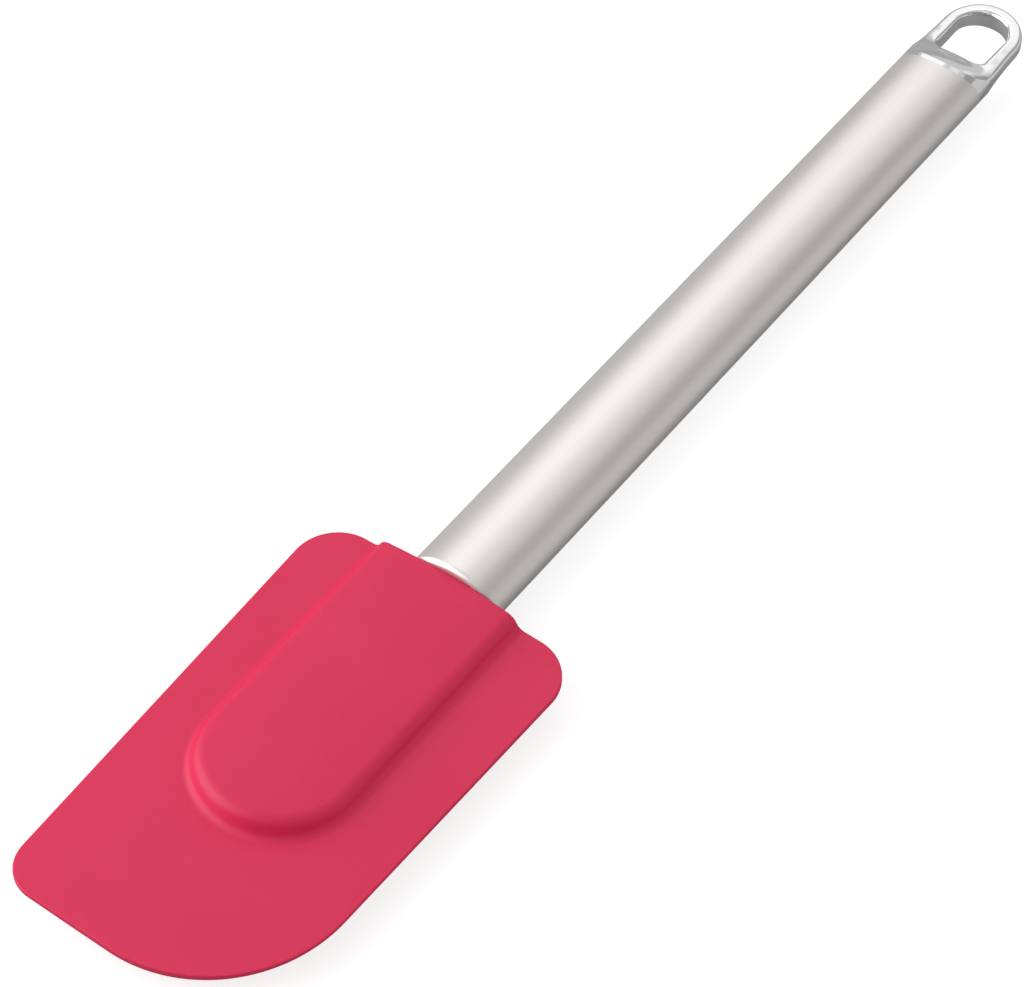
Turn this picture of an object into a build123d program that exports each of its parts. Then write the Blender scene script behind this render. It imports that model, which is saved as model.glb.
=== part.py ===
from build123d import *
import os
from math import atan2, degrees, sqrt

# Silicone spatula: a soft blade and hub moulded round a stiff core, on an oval steel handle with a hanging loop.
# Sizes in millimetres. +X runs from the blade's front edge to the loop, +Z is up, and the blade lies level.
# The origin is the middle of the bounding box in plan, at the lowest point, which is the tube's underside.

# Blade
blade_length = 94.2
blade_rear_width = 58.0
blade_front_width = 52.8
blade_front_shift = 0.8
blade_rear_corner_share = 0.78
blade_tip_radius = 7.4
blade_sweep_radius = 28.2
blade_rear_middle_thickness = 2.2
blade_rear_side_thickness = 1.2
blade_front_middle_thickness = 1.5
blade_edge_round_share = 0.8

# Hub, the raised U on both faces of the blade
hub_length = 64.5
hub_foot_width = 33.0
hub_top_width = 28.2
hub_side_shift = 0.9
hub_thickness = 9.2
hub_crown_radius = 100.0
hub_top_round = 2.6
hub_foot_round = 1.8

# Stiff core inside the hub
core_cover = 2.8
core_thickness = 5.0
core_edge_round = 1.2
key_hole_diameter = 7.0
key_hole_pitch = 10.0
key_hole_count = 2

# Flat bar that ties the core to the handle
tang_width = 13.0
tang_thickness = 2.5
tang_in_core = 34.0
tang_in_handle = 20.0
tang_corner_radius = 3.0
anchor_hole_diameter = 5.0
anchor_hole_pitch = 11.0
anchor_hole_count = 2

# Oval tube, from the hub's rear face to its rim
tube_width = 19.2
tube_thickness = 12.4
tube_wall = 0.8
handle_length = 165.2
mouth_depth = 2.0

# Plug in the tube's front end
plug_shoulder_length = 1.4
plug_shoulder_round = 1.1
plug_spigot_length = 14.0
spigot_clearance = 0.1
spigot_chamfer = 0.5

# Hanging loop
loop_length = 24.4
loop_end_width_share = 0.906
loop_arm_width = 3.1
loop_neck_length = 10.2
loop_neck_thickness = 5.8
loop_end_thickness = 4.5
loop_crown_spread = 0.9
loop_section_count = 14
loop_outer_round_share = 0.9
eye_straight_length = 10.0
eye_corner_radius = 2.8
eye_round_share = 0.3
loop_spigot_length = 16.0

# Places along the spatula, and the level of its middle plane
total_length = blade_length + handle_length + loop_length
blade_front_x = -total_length / 2
hub_rear_x = blade_front_x + blade_length
hub_front_centre_x = hub_rear_x - hub_length + hub_foot_width / 2
tube_front_x = hub_rear_x + plug_shoulder_length
rim_x = hub_rear_x + handle_length
mouth_x = rim_x - mouth_depth
loop_end_x = rim_x + loop_length
loop_end_radius = tube_width / 2 * loop_end_width_share
loop_centre_x = loop_end_x - loop_end_radius
eye_base_x = loop_centre_x - eye_straight_length
middle_z = tube_thickness / 2
upright_share = 0.5
spigot_half_width = tube_width / 2 - tube_wall - spigot_clearance
spigot_half_thickness = tube_thickness / 2 - tube_wall - spigot_clearance
overrun = tube_width

middle_plane = Plane.XY.offset(middle_z)
side_plane = Plane(origin=(0, 0, middle_z), x_dir=(1, 0, 0), z_dir=(0, -1, 0))


def level(height):
    """Plane at a height above the middle plane."""
    return Plane.XY.offset(middle_z + height)


def across(x):
    """Plane square to the handle at x, centred on its axis, with its own x along +Y."""
    return Plane(origin=(x, 0, middle_z), x_dir=(0, 1, 0), z_dir=(1, 0, 0))


def crown_disc(start, end, radius):
    """Disc square to the line from start to end, which runs along its highest point."""
    plane = Plane(origin=start, x_dir=(0, 1, 0), z_dir=Vector(end) - Vector(start))
    with BuildSketch(plane) as disc:
        with Locations((0, -radius)):
            Circle(radius)
    return disc.sketch


def round_nosed_outline(plane, rear_x, centre, width):
    """Outline with a straight rear end, parallel sides and a full round front end about its centre."""
    centre_x, centre_y = centre
    with BuildSketch(plane) as outline:
        with BuildLine():
            side = Line((rear_x, centre_y + width / 2), (centre_x, centre_y + width / 2))
            nose = ThreePointArc(side @ 1, (centre_x - width / 2, centre_y), (centre_x, centre_y - width / 2))
            Line(nose @ 1, (rear_x, centre_y - width / 2))
            Line((rear_x, centre_y - width / 2), side @ 0)
        make_face()
    return outline.sketch


# Flat bar with anchor holes that the core's nylon fills
tang_front_x = hub_rear_x - tang_in_core
tang_rear_x = hub_rear_x + tang_in_handle
with BuildPart() as tang:
    with BuildSketch(level(-tang_thickness / 2)) as bar_face:
        with Locations(((tang_front_x + tang_rear_x) / 2, 0)):
            RectangleRounded(tang_rear_x - tang_front_x, tang_width, tang_corner_radius)
        for index in range(anchor_hole_count):
            with Locations((tang_front_x + anchor_hole_pitch * (index + 1) - anchor_hole_diameter / 2, 0)):
                Circle(anchor_hole_diameter / 2, mode=Mode.SUBTRACT)
    extrude(amount=tang_thickness)
tang.part.label = "tang"

# Stiff core: a round-nosed paddle moulded round the bar, with key holes for the silicone ahead of it
core_width = hub_top_width - 2 * (hub_side_shift + core_cover)
core_front_x = hub_front_centre_x - core_width / 2
with BuildPart() as head_core:
    add(round_nosed_outline(level(-core_thickness / 2), hub_rear_x, (hub_front_centre_x, 0), core_width))
    extrude(amount=core_thickness)
    rim_edges = head_core.faces().filter_by(Axis.Z).edges()
    fillet(rim_edges.filter_by_position(Axis.X, core_front_x, hub_rear_x, inclusive=(True, False)), core_edge_round)
    with BuildSketch(level(-core_thickness / 2)):
        for index in range(key_hole_count):
            with Locations((tang_front_x - key_hole_pitch * (index + 1) + key_hole_diameter / 2, 0)):
                Circle(key_hole_diameter / 2)
    extrude(amount=core_thickness, mode=Mode.SUBTRACT)
    add(tang.part, mode=Mode.SUBTRACT)
head_core.part.label = "head_core"

# Upper half of the hub: sloped walls under a crowned top
with BuildPart() as hub_half:
    add(round_nosed_outline(level(0), hub_rear_x + overrun, (hub_front_centre_x, hub_side_shift), hub_foot_width))
    extrude(amount=hub_thickness / 2, taper=degrees(atan2(hub_foot_width - hub_top_width, hub_thickness)))
    ridge_z = middle_z + hub_thickness / 2
    ridge = ((blade_front_x, hub_side_shift, ridge_z), (hub_rear_x, hub_side_shift, ridge_z))
    extrude(crown_disc(*ridge, hub_crown_radius), amount=total_length, mode=Mode.INTERSECT)
    split(bisect_by=Plane(origin=(hub_rear_x, 0, 0), z_dir=(-1, 0, 0)))
    crown = hub_half.faces().sort_by(Axis.Z)[-1]
    fillet(crown.edges().sort_by(Axis.X)[:-1], hub_top_round)

# Silicone head: crowned blade that thins towards its front edge, with the hub, mirrored and hollowed for the core
blade_shoulder_width = (blade_rear_width - hub_foot_width) / 2 - hub_side_shift
front_tip_y = blade_front_width / 2 - blade_front_shift
front_sweep_y = -blade_front_width / 2 - blade_front_shift
rear_middle_height = blade_rear_middle_thickness / 2
front_middle_height = blade_front_middle_thickness / 2
crown_rise = (blade_rear_middle_thickness - blade_rear_side_thickness) / 2
blade_crown_radius = (blade_rear_width**2 / 4 + crown_rise**2) / (2 * crown_rise)
front_side_height = front_middle_height - crown_rise * (blade_front_width / blade_rear_width)**2
blade_edge_round = front_side_height * blade_edge_round_share
with BuildPart() as silicone_head:
    with BuildSketch(level(0)) as outline:
        with BuildLine():
            Polyline((blade_front_x, front_sweep_y), (hub_rear_x, -blade_rear_width / 2),
                     (hub_rear_x, blade_rear_width / 2), (blade_front_x, front_tip_y), close=True)
        make_face()
        fillet(outline.vertices().group_by(Axis.X)[-1], blade_shoulder_width * blade_rear_corner_share)
        fillet(outline.vertices().group_by(Axis.X)[0].sort_by(Axis.Y)[-1], blade_tip_radius)
        fillet(outline.vertices().group_by(Axis.X)[0].sort_by(Axis.Y)[0], blade_sweep_radius)
    extrude(amount=rear_middle_height)
    blade_ridge = ((blade_front_x, 0, middle_z + front_middle_height), (hub_rear_x, 0, middle_z + rear_middle_height))
    extrude(crown_disc(*blade_ridge, blade_crown_radius), amount=total_length, both=True, mode=Mode.INTERSECT)
    add(hub_half.part)
    fillet(silicone_head.edges(Select.NEW).sort_by(Axis.X), hub_foot_round)
    upright_faces = silicone_head.faces().filter_by(lambda face: abs(face.normal_at().Z) < upright_share)
    rim_z = middle_z + front_side_height / 2
    rim_faces = upright_faces.filter_by(lambda face: face.bounding_box().min.Z < rim_z)
    fillet(rim_faces.edges().filter_by(lambda edge: edge.bounding_box().min.Z > rim_z), blade_edge_round)
    mirror(about=middle_plane)
    add(head_core.part, mode=Mode.SUBTRACT)
    add(tang.part, mode=Mode.SUBTRACT)
silicone_head.part.label = "silicone_head"

# Plug in the tube's mouth: an oval shoulder against the hub and a spigot, slotted for the bar
with BuildPart() as front_plug:
    with BuildSketch(across(hub_rear_x)):
        Ellipse(tube_width / 2, tube_thickness / 2)
    extrude(amount=plug_shoulder_length)
    fillet(front_plug.edges().sort_by(Axis.X)[0], plug_shoulder_round)
    with BuildSketch(across(tube_front_x)):
        Ellipse(spigot_half_width, spigot_half_thickness)
    extrude(amount=plug_spigot_length)
    chamfer(front_plug.edges().sort_by(Axis.X)[-1], spigot_chamfer)
    add(tang.part, mode=Mode.SUBTRACT)
front_plug.part.label = "front_plug"

# Everything behind the rim's curved mouth, drawn in side view and cut right across the handle
with BuildPart() as mouth_side:
    with BuildSketch(side_plane):
        with BuildLine():
            mouth = ThreePointArc((mouth_x, -tube_thickness / 2), (rim_x, 0), (mouth_x, tube_thickness / 2))
            Polyline(mouth @ 1, (mouth_x, overrun), (loop_end_x + overrun, overrun),
                     (loop_end_x + overrun, -overrun), (mouth_x, -overrun), mouth @ 0)
        make_face()
    extrude(amount=overrun, both=True)

# Oval tube, its rear rim cut back in the middle of its upper and lower sides
with BuildPart() as handle_tube:
    with BuildSketch(across(tube_front_x)):
        Ellipse(tube_width / 2, tube_thickness / 2)
        Ellipse(tube_width / 2 - tube_wall, tube_thickness / 2 - tube_wall, mode=Mode.SUBTRACT)
    extrude(amount=rim_x - tube_front_x)
    add(mouth_side.part, mode=Mode.SUBTRACT)
handle_tube.part.label = "handle_tube"

# Spigot of the hanging loop, which ends on the rim's curve
with BuildPart() as loop_spigot:
    with BuildSketch(across(mouth_x - loop_spigot_length)):
        Ellipse(spigot_half_width, spigot_half_thickness)
    extrude(amount=loop_spigot_length + mouth_depth)
    chamfer(loop_spigot.edges().sort_by(Axis.X)[0], spigot_chamfer)
    add(mouth_side.part, mode=Mode.SUBTRACT)

# Hanging loop: the tube's oval sinks to a crowned neck, which thins towards the rounded eye
neck_x = mouth_x + loop_neck_length
neck_z = loop_neck_thickness / 2
tip_z = loop_end_thickness / 2
crown_half_width = tube_width / 2 + loop_crown_spread
outer_wall_share = sqrt(1 - (loop_end_radius / crown_half_width)**2)
eye_radius = loop_end_radius - loop_arm_width
with BuildLine() as crest:
    tip = Vector(loop_end_x, tip_z)
    sink = Spline((mouth_x, tube_thickness / 2), (neck_x, neck_z), tangents=((1, 0), tip - (neck_x, neck_z)))
    Line(sink @ 1, tip + (tip - sink @ 1) * loop_arm_width / loop_end_radius)
with BuildPart() as hanging_loop:
    for index in range(loop_section_count + 1):
        place = crest.wire() @ (index / loop_section_count)
        with BuildSketch(across(place.X)):
            Ellipse(crown_half_width, place.Y)
    loft()
    with BuildSketch(level(-overrun)):
        with BuildLine():
            side = Spline((mouth_x, tube_width / 2), (loop_centre_x, loop_end_radius), tangents=((1, 0), (1, 0)))
            end = ThreePointArc(side @ 1, (loop_end_x, 0), (loop_centre_x, -loop_end_radius))
            other_side = Spline(end @ 1, (mouth_x, -tube_width / 2), tangents=((-1, 0), (-1, 0)))
            Line(other_side @ 1, side @ 0)
        make_face()
    extrude(amount=2 * overrun, mode=Mode.INTERSECT)
    upright_faces = hanging_loop.faces().filter_by(lambda face: abs(face.normal_at().Z) < upright_share)
    outer_faces = upright_faces.sort_by(Axis.X)[1:]
    fillet(outer_faces.edges() - hanging_loop.edges().filter_by(Axis.Z), tip_z * outer_wall_share * loop_outer_round_share)
    with BuildSketch(level(-overrun)) as eye:
        with BuildLine():
            arm = Line((eye_base_x, eye_radius), (loop_centre_x, eye_radius))
            far_arc = ThreePointArc(arm @ 1, (loop_centre_x + eye_radius, 0), (loop_centre_x, -eye_radius))
            Polyline(far_arc @ 1, (eye_base_x, -eye_radius), (eye_base_x, eye_radius))
        make_face()
        fillet(eye.vertices().group_by(Axis.X)[0], eye_corner_radius)
    extrude(amount=2 * overrun, mode=Mode.SUBTRACT)
    new_edges = hanging_loop.edges(Select.NEW)
    fillet(new_edges - new_edges.filter_by(Axis.Z), loop_arm_width * eye_round_share)
    with BuildSketch(across(mouth_x)):
        Ellipse(tube_width / 2, tube_thickness / 2)
    extrude(amount=loop_length + mouth_depth, mode=Mode.INTERSECT)
    add(mouth_side.part, mode=Mode.INTERSECT)
    add(loop_spigot.part)
hanging_loop.part.label = "hanging_loop"

os.makedirs("parts", exist_ok=True)
for piece in (silicone_head, head_core, tang, front_plug, handle_tube, hanging_loop):
    export_step(piece.part, f"parts/{piece.part.label}.step")
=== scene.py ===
import logging
import math
from dataclasses import dataclass, field
from enum import Enum

import bmesh
import bpy
from mathutils import Matrix, Vector

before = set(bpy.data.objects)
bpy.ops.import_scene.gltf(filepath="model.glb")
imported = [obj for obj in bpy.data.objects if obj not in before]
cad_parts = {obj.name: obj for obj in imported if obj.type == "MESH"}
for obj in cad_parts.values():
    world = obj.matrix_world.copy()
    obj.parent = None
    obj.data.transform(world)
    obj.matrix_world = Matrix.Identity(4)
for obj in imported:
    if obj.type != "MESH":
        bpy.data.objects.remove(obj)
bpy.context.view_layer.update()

log = logging.getLogger("spatula")

MM = 0.001

# A screen's curve: straight up to the knee, a power above it
FULL_LEVEL = 255
CURVE_KNEE = 0.04045
CURVE_FOOT = 12.92
CURVE_OFFSET = 0.055
CURVE_POWER = 2.4

WHITE = (1.0, 1.0, 1.0, 1.0)
BLACK = (0.0, 0.0, 0.0, 1.0)

# The part of a noise's range over which its patches blend
PATCH_START = 0.3
PATCH_END = 0.7

Triple = tuple[float, float, float]
Socket = bpy.types.NodeSocket


def linear(colour: Triple) -> tuple[float, float, float, float]:
    """Turns a display colour into the linear colour that a shader socket holds.

    Args:
        colour: Red, green and blue from 0 to 255, as on a screen.

    Returns:
        The linear colour with an alpha of 1.
    """
    shares = [part / FULL_LEVEL for part in colour]
    values = [
        share / CURVE_FOOT if share <= CURVE_KNEE
        else ((share + CURVE_OFFSET) / (1 + CURVE_OFFSET)) ** CURVE_POWER
        for share in shares
    ]
    return (*values, 1.0)


class Grain(Enum):
    """Which way a finish's fine relief runs, as its stretch along X, Y and Z."""

    EVEN = (1.0, 1.0, 1.0)
    AROUND = (1.0, 0.012, 0.012)
    ALONG = (0.012, 1.0, 1.0)
    BUFFED = (0.16, 0.9, 0.9)


class Wiring:
    """Adds and joins the nodes of one shader tree."""

    def __init__(self, tree: bpy.types.NodeTree) -> None:
        """Keeps the node tree to work in."""
        self.tree = tree

    def add(self, kind: str, **settings: object) -> bpy.types.Node:
        """Adds a node.

        Args:
            kind: The node's type name.
            **settings: Properties to set on the node.

        Returns:
            The new node.
        """
        node = self.tree.nodes.new(kind)
        for name, value in settings.items():
            setattr(node, name, value)
        return node

    def join(self, source: Socket, node: bpy.types.Node, socket: str | int) -> None:
        """Links a socket to a node's input."""
        self.tree.links.new(source, node.inputs[socket])

    def math(self, operation: str, first: Socket | float, second: Socket | float) -> Socket:
        """Adds a Math node.

        Args:
            operation: The Math node's operation.
            first: A socket or a number.
            second: A socket or a number.

        Returns:
            The result socket.
        """
        node = self.add("ShaderNodeMath", operation=operation)
        for index, value in enumerate((first, second)):
            if isinstance(value, Socket):
                self.join(value, node, index)
            else:
                node.inputs[index].default_value = value
        return node.outputs[0]

    def ramp(self, value: Socket, low: float, high: float, to_low: float, to_high: float) -> Socket:
        """Maps a range of values smoothly onto another.

        Args:
            value: The socket to map.
            low: Where the range starts.
            high: Where the range ends.
            to_low: The result at and below low.
            to_high: The result at and above high.

        Returns:
            The mapped value's socket.
        """
        node = self.add("ShaderNodeMapRange", interpolation_type="SMOOTHSTEP")
        self.join(value, node, "Value")
        ends = (("From Min", low), ("From Max", high), ("To Min", to_low), ("To Max", to_high))
        for name, number in ends:
            node.inputs[name].default_value = number
        return node.outputs["Result"]

    def tint(self, factor: Socket, first: tuple, second: tuple) -> Socket:
        """Mixes two colours.

        Args:
            factor: The socket that mixes them.
            first: The linear colour at 0.
            second: The linear colour at 1.

        Returns:
            The mixed colour's socket.
        """
        node = self.add("ShaderNodeMix", data_type="RGBA")
        self.join(factor, node, 0)
        node.inputs["A"].default_value = first
        node.inputs["B"].default_value = second
        return node.outputs["Result"]

    def noise(self, vector: Socket, scale: Socket, detail: float, roughness: float) -> Socket:
        """Adds a noise texture.

        Args:
            vector: The socket that places it.
            scale: The socket that gives its scale.
            detail: How many finer layers it has.
            roughness: How strong each finer layer is.

        Returns:
            The noise value's socket.
        """
        node = self.add("ShaderNodeTexNoise", noise_dimensions="3D")
        self.join(vector, node, "Vector")
        self.join(scale, node, "Scale")
        node.inputs["Detail"].default_value = detail
        node.inputs["Roughness"].default_value = roughness
        return node.outputs[0]

    def bump(self, height: Socket, depth: float, shader: bpy.types.Node) -> None:
        """Bends a shader's normal.

        Args:
            height: The socket that gives the height, from 0 to 1.
            depth: The depth in metres that a height of 1 stands for.
            shader: The shader to bend the normal of.
        """
        node = self.add("ShaderNodeBump")
        node.inputs["Strength"].default_value = 1.0
        node.inputs["Distance"].default_value = depth
        self.join(height, node, "Height")
        self.join(node.outputs["Normal"], shader, "Normal")

    def seen_level(self, straight: float, in_metal: float) -> Socket:
        """Gives a brightness that depends on how it is seen.

        Args:
            straight: The brightness as the camera sees it.
            in_metal: The brightness as metal and glass show it.

        Returns:
            A socket with that brightness, which is 0 for other rays.
        """
        path = self.add("ShaderNodeLightPath")
        shown = self.math(
            "MAXIMUM", path.outputs["Is Glossy Ray"], path.outputs["Is Transmission Ray"])
        camera = self.math("MULTIPLY", path.outputs["Is Camera Ray"], straight)
        return self.math("MAXIMUM", camera, self.math("MULTIPLY", shown, in_metal))


@dataclass(frozen=True)
class Relief:
    """A fine relief with slow patches, as a node group that finishes share."""

    name: str
    fine_detail: float
    fine_roughness: float
    slow_detail: float
    slow_roughness: float

    def group(self) -> bpy.types.NodeTree:
        """Makes the node group, or finds it if it is there.

        Returns:
            The group, with Vector, Fine Scale and Slow Scale in, and Height and Patch out.
        """
        if self.name in bpy.data.node_groups:
            return bpy.data.node_groups[self.name]
        group = bpy.data.node_groups.new(self.name, "ShaderNodeTree")
        for label, side, kind in (
            ("Vector", "INPUT", "NodeSocketVector"),
            ("Fine Scale", "INPUT", "NodeSocketFloat"),
            ("Slow Scale", "INPUT", "NodeSocketFloat"),
            ("Height", "OUTPUT", "NodeSocketFloat"),
            ("Patch", "OUTPUT", "NodeSocketFloat"),
        ):
            group.interface.new_socket(name=label, in_out=side, socket_type=kind)
        wiring = Wiring(group)
        entry = wiring.add("NodeGroupInput")
        leave = wiring.add("NodeGroupOutput")
        vector = entry.outputs["Vector"]
        fine = wiring.noise(
            vector, entry.outputs["Fine Scale"], self.fine_detail, self.fine_roughness)
        slow = wiring.noise(
            vector, entry.outputs["Slow Scale"], self.slow_detail, self.slow_roughness)
        wiring.join(fine, leave, "Height")
        wiring.join(wiring.ramp(slow, PATCH_START, PATCH_END, 0.0, 1.0), leave, "Patch")
        return group


MOULDED_SKIN = Relief(
    "moulded_skin", fine_detail=3.0, fine_roughness=0.6, slow_detail=4.0, slow_roughness=0.55)
BRUSHED_GRAIN = Relief(
    "brushed_grain", fine_detail=4.0, fine_roughness=0.65, slow_detail=3.0, slow_roughness=0.5)


def begin_material(name: str) -> tuple[bpy.types.Material, Wiring, bpy.types.Node]:
    """Makes a material that holds only a Principled BSDF and its output.

    Args:
        name: The material's name.

    Returns:
        The material, its wiring and its Principled BSDF.
    """
    material = bpy.data.materials.new(name)
    material.use_nodes = True
    material.node_tree.nodes.clear()
    wiring = Wiring(material.node_tree)
    shader = wiring.add("ShaderNodeBsdfPrincipled")
    output = wiring.add("ShaderNodeOutputMaterial")
    wiring.join(shader.outputs["BSDF"], output, "Surface")
    return material, wiring, shader


@dataclass(frozen=True)
class Finish:
    """A surface whose colour and roughness drift between its own and its patches' values."""

    name: str
    colour: Triple
    patch_colour: Triple
    roughness: float
    patch_roughness: float
    fine_scale: float
    fine_depth: float
    slow_scale: float

    def begin(self, relief: Relief, grain: Grain) -> tuple[bpy.types.Material, bpy.types.Node]:
        """Makes the material with its colour, roughness and relief.

        Args:
            relief: The relief to use.
            grain: Which way the relief runs.

        Returns:
            The new material and its Principled BSDF.
        """
        material, wiring, shader = begin_material(self.name)
        coordinates = wiring.add("ShaderNodeTexCoord")
        mapping = wiring.add("ShaderNodeMapping")
        mapping.inputs["Scale"].default_value = grain.value
        wiring.join(coordinates.outputs["Object"], mapping, "Vector")
        skin = wiring.add("ShaderNodeGroup")
        skin.node_tree = relief.group()
        wiring.join(mapping.outputs["Vector"], skin, "Vector")
        skin.inputs["Fine Scale"].default_value = self.fine_scale
        skin.inputs["Slow Scale"].default_value = self.slow_scale
        patch = skin.outputs["Patch"]
        colour = wiring.tint(patch, linear(self.colour), linear(self.patch_colour))
        wiring.join(colour, shader, "Base Color")
        roughness = wiring.ramp(patch, 0.0, 1.0, self.roughness, self.patch_roughness)
        wiring.join(roughness, shader, "Roughness")
        wiring.bump(skin.outputs["Height"], self.fine_depth, shader)
        return material, shader


@dataclass(frozen=True)
class MouldedFinish(Finish):
    """A moulded rubber or plastic, matt from its mould."""

    see_in: float = 0.0
    see_in_depth: Triple = (1.0, 0.2, 0.2)

    def make(self) -> bpy.types.Material:
        """Makes the material."""
        material, shader = self.begin(MOULDED_SKIN, Grain.EVEN)
        shader.inputs["Subsurface Weight"].default_value = self.see_in
        shader.inputs["Subsurface Radius"].default_value = self.see_in_depth
        shader.inputs["Subsurface Scale"].default_value = MM
        return material


@dataclass(frozen=True)
class SteelFinish(Finish):
    """A stainless steel surface, brushed or polished."""

    grain: Grain = Grain.EVEN

    def make(self) -> bpy.types.Material:
        """Makes the material."""
        material, shader = self.begin(BRUSHED_GRAIN, self.grain)
        shader.inputs["Metallic"].default_value = 1.0
        return material


SILICONE = MouldedFinish(
    "raspberry_silicone", colour=(223, 26, 82), patch_colour=(220, 23, 79),
    roughness=0.49, patch_roughness=0.54,
    fine_scale=3600.0, fine_depth=0.01 * MM, slow_scale=45.0,
    see_in=0.12, see_in_depth=(2.2, 0.5, 0.6))
CORE_NYLON = MouldedFinish(
    "core_nylon", colour=(42, 42, 44), patch_colour=(34, 34, 36),
    roughness=0.5, patch_roughness=0.6,
    fine_scale=2600.0, fine_depth=0.02 * MM, slow_scale=80.0)
BRUSHED_STEEL = SteelFinish(
    "brushed_steel", colour=(205, 195, 189), patch_colour=(200, 190, 183),
    roughness=0.27, patch_roughness=0.33,
    fine_scale=5200.0, fine_depth=0.003 * MM, slow_scale=60.0, grain=Grain.AROUND)
POLISHED_STEEL = SteelFinish(
    "polished_steel", colour=(228, 228, 227), patch_colour=(222, 222, 221),
    roughness=0.13, patch_roughness=0.18,
    fine_scale=900.0, fine_depth=0.0008 * MM, slow_scale=90.0, grain=Grain.BUFFED)
BAR_STEEL = SteelFinish(
    "bar_steel", colour=(168, 168, 166), patch_colour=(158, 157, 155),
    roughness=0.34, patch_roughness=0.42,
    fine_scale=4200.0, fine_depth=0.004 * MM, slow_scale=70.0, grain=Grain.ALONG)


def dress(node: str, finish: MouldedFinish | SteelFinish) -> None:
    """Gives a carried-over piece its finish in every material slot it has.

    Args:
        node: The piece's name in the frame.
        finish: The finish to give it.
    """
    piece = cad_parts[node]
    material = bpy.data.materials.get(finish.name) or finish.make()
    for slot in piece.material_slots:
        slot.material = material
    log.info("%s is dressed in %s", node, finish.name)


@dataclass
class Head:
    """The silicone head with its hidden nylon core."""

    skin: MouldedFinish = SILICONE
    core: MouldedFinish = CORE_NYLON

    def build(self) -> None:
        """Dresses the head's pieces."""
        dress("silicone_head", self.skin)
        dress("head_core", self.core)


@dataclass
class Handle:
    """The brushed tube, its front plug, the bar inside and the hanging loop."""

    bar: SteelFinish = BAR_STEEL
    tube: SteelFinish = BRUSHED_STEEL
    loop: SteelFinish = POLISHED_STEEL

    def build(self) -> None:
        """Dresses the handle's pieces."""
        dress("tang", self.bar)
        dress("front_plug", self.tube)
        dress("handle_tube", self.tube)
        dress("hanging_loop", self.loop)


def make_sheet(
    name: str, length: float, width: float, place: Matrix, material: bpy.types.Material,
) -> bpy.types.Object:
    """Makes a flat rectangle in the scene.

    Args:
        name: The sheet's name.
        length: Its length along its own X.
        width: Its width along its own Y.
        place: Where its middle goes and how it is turned.
        material: Its material.

    Returns:
        The new object, which stands at the origin with its corners in place.
    """
    mesh = bpy.data.meshes.new(name)
    work = bmesh.new()
    bmesh.ops.create_grid(work, x_segments=1, y_segments=1, size=0.5)
    bmesh.ops.scale(work, vec=(length, width, 1.0), verts=work.verts)
    bmesh.ops.transform(work, matrix=place, verts=work.verts)
    work.to_mesh(mesh)
    work.free()
    mesh.materials.append(material)
    sheet = bpy.data.objects.new(name, mesh)
    bpy.context.scene.collection.objects.link(sheet)
    return sheet


@dataclass
class Lamp:
    """A square soft box that faces the middle of the spatula."""

    name: str
    direction: Triple
    distance: float
    side: float
    level: float
    in_metal: bool = True

    def build(self) -> None:
        """Makes the lamp, with the power that adds its level, as a share of white, to the floor."""
        light = bpy.data.lights.new(self.name, "AREA")
        light.shape = "SQUARE"
        light.size = self.side
        towards = Vector(self.direction).normalized()
        reach = self.distance ** 2 + self.side ** 2 / math.pi
        light.energy = self.level * math.pi ** 2 * reach / towards.z
        lamp = bpy.data.objects.new(self.name, light)
        turn = towards.to_track_quat("Z", "Y").to_matrix().to_4x4()
        lamp.matrix_world = Matrix.Translation(towards * self.distance) @ turn
        lamp.visible_camera = False
        lamp.visible_glossy = self.in_metal
        bpy.context.scene.collection.objects.link(lamp)
        log.info("%s is lit at %.1f W", self.name, light.energy)


@dataclass
class Card:
    """A flat card that only gloss shows, and that faces the middle of the spatula.

    It is long along the handle, or else level and square to the line to the spatula.
    Its shift slides it along its length, and aside slides it along its width.
    """

    name: str
    direction: Triple
    length: float
    width: float
    level: float
    distance: float = 0.9
    shift: float = 0.0
    aside: float = 0.0
    along_handle: bool = True

    def build(self) -> None:
        """Makes the card, with its own plain brightness."""
        towards = Vector(self.direction).normalized()
        along = Vector((1.0, 0.0, 0.0))
        if not self.along_handle:
            along = Vector((-towards.y, towards.x, 0.0)).normalized()
        across = towards.cross(along).normalized()
        turn = Matrix((across.cross(towards), across, towards)).transposed().to_4x4()
        slide = Matrix.Translation((self.shift, self.aside, 0.0))
        place = Matrix.Translation(towards * self.distance) @ turn @ slide
        material, _, shader = begin_material(self.name)
        shader.inputs["Base Color"].default_value = BLACK
        shader.inputs["Specular IOR Level"].default_value = 0.0
        shader.inputs["Emission Color"].default_value = WHITE
        shader.inputs["Emission Strength"].default_value = self.level
        card = make_sheet(self.name, self.length, self.width, place, material)
        card.visible_camera = False
        card.visible_diffuse = False
        card.visible_shadow = False
        log.info("%s stands at %.2f m", self.name, self.distance)


def softboxes() -> list[Lamp]:
    """Lists the studio's lamps."""
    return [
        Lamp("left_softbox", direction=(-0.50, 0.76, 0.42), distance=0.8, side=0.92, level=0.32),
        Lamp("back_softbox", direction=(0.5126, 0.403, 0.758), distance=1.2, side=0.66,
             level=0.062),
        Lamp("right_fill", direction=(0.30, -0.80, 0.50), distance=1.4, side=1.4, level=0.09,
             in_metal=False),
    ]


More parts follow.
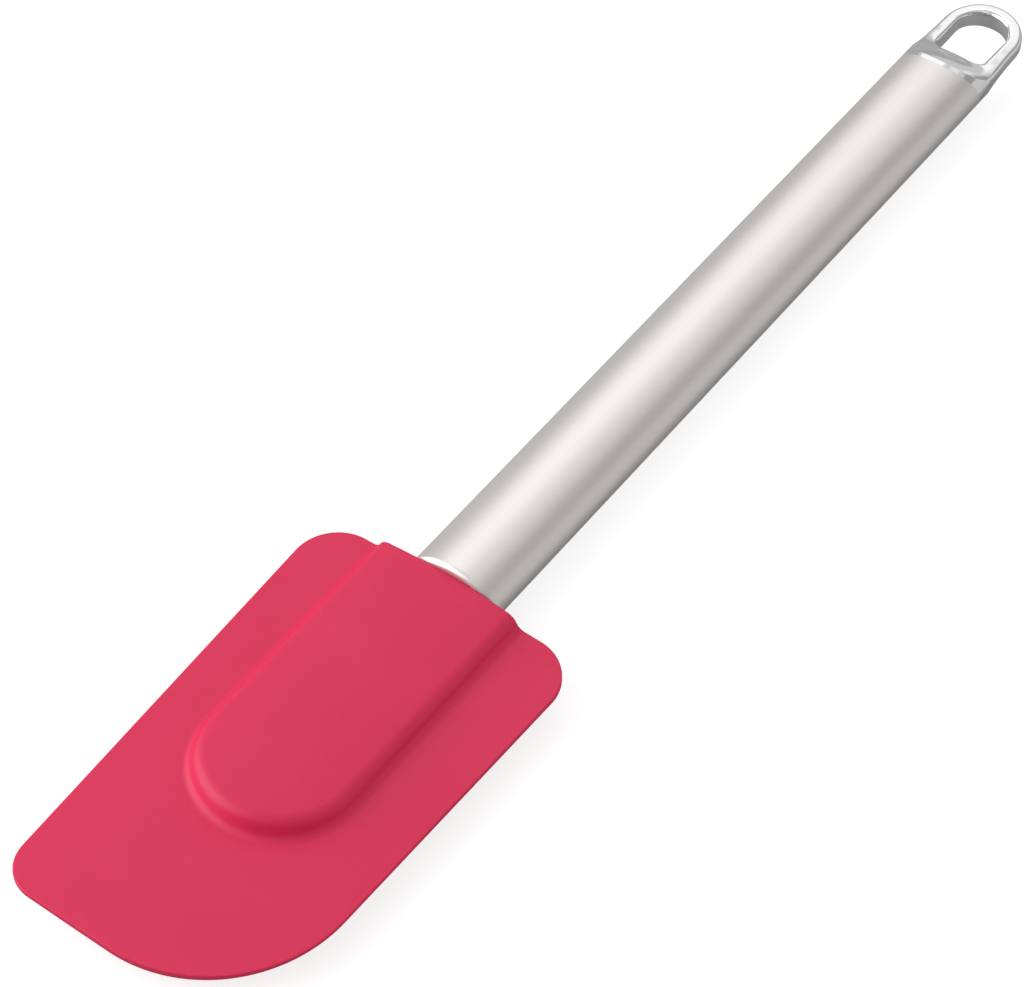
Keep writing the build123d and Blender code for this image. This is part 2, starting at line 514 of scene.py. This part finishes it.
def gloss_cards() -> list[Card]:
    """Lists the cards that shape the reflections in the handle."""
    return [
        Card("grey_card", direction=(0.0, -0.656, 0.755), length=6.0, width=0.45, level=0.34,
             shift=2.0),
        Card("left_card", direction=(0.0, 0.985, 0.17), length=6.0, width=0.36, level=0.42,
             shift=2.0),
        Card("top_card", direction=(0.0, -0.087, 0.996), length=6.0, width=0.30, level=0.84,
             shift=2.0),
        Card("rim_card", direction=(0.80, 0.28, 0.52), length=0.7, width=0.34, level=1.1,
             along_handle=False),
        Card("floor_card", direction=(0.0, 0.0, 1.0), length=3.0, width=0.6, level=0.6,
             distance=0.4 * MM, shift=1.47, aside=-0.33),
        Card("black_flag", direction=(-0.75, -0.60, 0.15), length=1.8, width=0.5, level=0.08,
             along_handle=False),
    ]


@dataclass
class Studio:
    """The floor, the world, the lamps, the cards and the camera."""

    floor_size: float = 12.0
    floor_colour: Triple = (188, 188, 188)
    floor_roughness: float = 0.9
    floor_specular: float = 0.1
    floor_lift: float = 0.74
    floor_lift_in_metal: float = 0.0
    world_straight: float = 1.0
    world_in_metal: float = 0.62
    ambient: float = 0.41
    camera_azimuth: float = 53.53
    camera_elevation: float = 50.40
    camera_distance: float = 0.61987
    camera_focal: float = 3440.28
    camera_clip: float = 0.01
    image_width: float = 1024.0
    sensor: float = 36.0
    aim: Triple = (-0.0477, 0.0, 0.0062)
    aim_right: float = 0.01071
    aim_up: float = 0.017764
    lamps: list[Lamp] = field(default_factory=softboxes)
    cards: list[Card] = field(default_factory=gloss_cards)

    def build_world(self) -> None:
        """Makes a white world that lights the object softly."""
        world = bpy.data.worlds.new("studio")
        world.use_nodes = True
        world.node_tree.nodes.clear()
        wiring = Wiring(world.node_tree)
        background = wiring.add("ShaderNodeBackground")
        seen = wiring.seen_level(self.world_straight, self.world_in_metal)
        wiring.join(wiring.math("MAXIMUM", seen, self.ambient), background, "Strength")
        background.inputs["Color"].default_value = WHITE
        output = wiring.add("ShaderNodeOutputWorld")
        wiring.join(background.outputs["Background"], output, "Surface")
        bpy.context.scene.world = world

    def build_floor(self) -> None:
        """Makes the pale floor that the tube rests on."""
        material, wiring, shader = begin_material("floor_paper")
        shader.inputs["Base Color"].default_value = linear(self.floor_colour)
        shader.inputs["Roughness"].default_value = self.floor_roughness
        shader.inputs["Specular IOR Level"].default_value = self.floor_specular
        shader.inputs["Emission Color"].default_value = WHITE
        lift = wiring.seen_level(self.floor_lift, self.floor_lift_in_metal)
        wiring.join(lift, shader, "Emission Strength")
        floor = make_sheet("floor", self.floor_size, self.floor_size, Matrix.Identity(4), material)

    def build_camera(self) -> None:
        """Makes the camera at the photograph's viewing angle."""
        azimuth = math.radians(self.camera_azimuth)
        elevation = math.radians(self.camera_elevation)
        right = Vector((math.cos(azimuth), -math.sin(azimuth), 0.0))
        ahead = Vector((
            math.sin(azimuth) * math.cos(elevation),
            math.cos(azimuth) * math.cos(elevation),
            -math.sin(elevation),
        ))
        up = right.cross(ahead)
        aside = self.aim_right * right + self.aim_up * up
        place = Vector(self.aim) + aside - self.camera_distance * ahead
        data = bpy.data.cameras.new("camera")
        data.sensor_fit = "HORIZONTAL"
        data.sensor_width = self.sensor
        data.lens = self.camera_focal / self.image_width * self.sensor
        data.clip_start = self.camera_clip
        camera = bpy.data.objects.new("camera", data)
        turn = Matrix((right, up, -ahead)).transposed().to_4x4()
        camera.matrix_world = Matrix.Translation(place) @ turn
        bpy.context.scene.collection.objects.link(camera)
        bpy.context.scene.camera = camera

    def build(self) -> None:
        """Makes everything that isn't part of the spatula."""
        self.build_world()
        self.build_floor()
        for piece in (*self.cards, *self.lamps):
            piece.build()
        self.build_camera()
        bpy.context.scene.view_settings.view_transform = "Standard"


def main() -> None:
    """Builds the studio and dresses the spatula's pieces."""
    logging.basicConfig(level=logging.INFO, format="%(message)s")
    Studio().build()
    Head().build()
    Handle().build()


if __name__ == "__main__":
    main()
